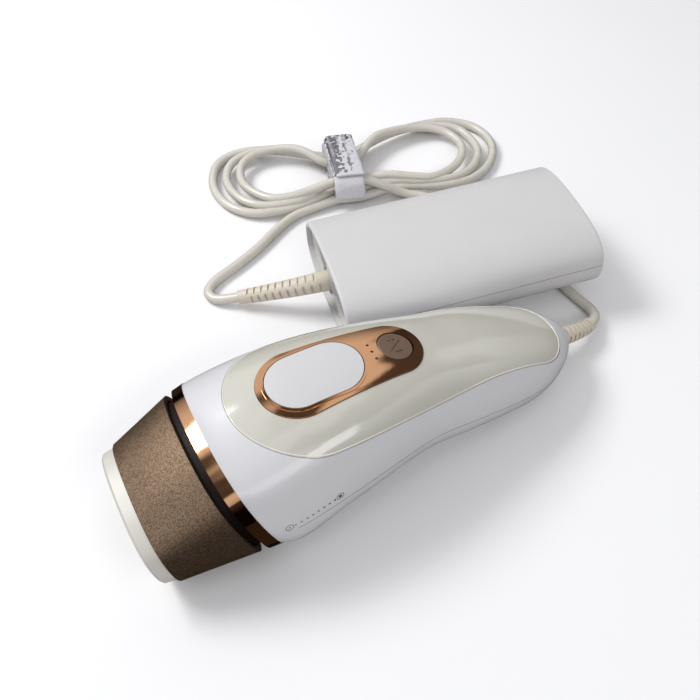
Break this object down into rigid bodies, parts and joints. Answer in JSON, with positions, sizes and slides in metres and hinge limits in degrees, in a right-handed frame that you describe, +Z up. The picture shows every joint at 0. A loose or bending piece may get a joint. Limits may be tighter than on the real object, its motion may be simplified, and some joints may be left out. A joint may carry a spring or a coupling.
{
  "type": "ipl hair remover",
  "caption": "Hand-held light hair remover with a curved body, treatment head and buttons, joined by a tied cord to its power adapter.",
  "frame": {"origin": "on the surface the object lies on, in the middle of the handset and adapter together", "axes": "+X along the handset from head to tail, +Z up, +Y from the handset towards the adapter"},
  "size_m": [0.2885, 0.2613, 0.0594],
  "materials": {
    "shell_white": "satin",
    "panel_cream": "gloss",
    "rose_chrome": "polished",
    "button_white": "satin",
    "mode_bronze": "matte",
    "lens_dark": "clear",
    "collar_dark": "matte",
    "cap_bronze": "metallic matte",
    "rim_cream": "satin",
    "tunnel_silver": "polished",
    "housing_black": "matte",
    "filter_amber": "clear",
    "reflector_silver": "polished",
    "lamp_glass": "clear",
    "lamp_metal": "brushed",
    "sensor_black": "gloss",
    "fan_black": "matte",
    "chassis_grey": "matte",
    "circuit_green": "solder mask",
    "copper": "enamelled",
    "ferrite": "matte",
    "capacitor_sleeve": "gloss",
    "steel": "plain",
    "adapter_white": "fine texture",
    "adapter_end": "gloss",
    "heat_sink": "plain",
    "inlet_black": "matte",
    "pin_brass": "plain",
    "relief_beige": "matte",
    "cord_ivory": "satin",
    "tie_grey": "brushed"
  },
  "bodies": {
    "base": {"upper_shell": "shell_white", "lower_shell": "shell_white", "case_screws": "steel", "top_panel": "panel_cream", "control_bezel": "rose_chrome", "indicator_lenses": "lens_dark", "trigger_springs": "steel", "control_board": "circuit_green", "tact_switches": "sensor_black", "trim_ring": "rose_chrome", "vent_collar": "collar_dark", "lamp_housing": "housing_black", "filter_window": "filter_amber", "reflector": "reflector_silver", "flash_lamp": "lamp_glass", "lamp_ends": "lamp_metal", "skin_sensor": "sensor_black", "fan_frame": "fan_black", "inner_chassis": "chassis_grey", "power_board": "circuit_green", "trigger_transformer": "copper", "board_chokes": "ferrite", "storage_capacitor": "capacitor_sleeve", "adapter_strain_relief": "relief_beige", "handset_strain_relief": "relief_beige", "adapter_top_cover": "adapter_white", "adapter_bottom_cover": "adapter_white", "adapter_cord_end": "adapter_end", "adapter_inlet_end": "adapter_end", "mains_inlet": "inlet_black", "inlet_pins": "pin_brass", "adapter_board": "circuit_green", "transformer_core": "ferrite", "transformer_winding": "copper", "bulk_capacitor": "capacitor_sleeve", "output_capacitors": "capacitor_sleeve", "heat_sinks": "heat_sink", "mains_choke": "ferrite", "adapter_lead": "cord_ivory", "handset_lead": "cord_ivory", "cord_hank": "cord_ivory", "cord_tie": "tie_grey"},
    "treatment_button": {"treatment_button": "button_white"},
    "mode_button": {"mode_button": "mode_bronze"},
    "head_cap": {"head_cap": "cap_bronze", "cap_rim": "rim_cream", "light_tunnel": "tunnel_silver"},
    "fan_rotor": {"fan_rotor": "fan_black"}
  },
  "joints": [
    {"name": "treatment_button_press", "type": "slide", "parent": "base", "child": "treatment_button", "axis": [0, 0, -1], "range_m": [0, 0.0012], "stiffness_N_per_m": 900, "springref_m": -0.0008, "deforming": ["trigger_springs"]},
    {"name": "mode_button_press", "type": "slide", "parent": "base", "child": "mode_button", "axis": [-0.2079, 0, -0.9781], "range_m": [0, 0.0008], "stiffness_N_per_m": 900, "springref_m": -0.0008},
    {"name": "head_cap_slide", "type": "slide", "parent": "base", "child": "head_cap", "axis": [-1, 0, 0], "range_m": [0, 0.04]},
    {"name": "fan_spin", "type": "hinge", "parent": "base", "child": "fan_rotor", "pos_m": [-0.076, -0.04, 0.028], "axis": [1, 0, 0], "continuous": true}
  ]
}
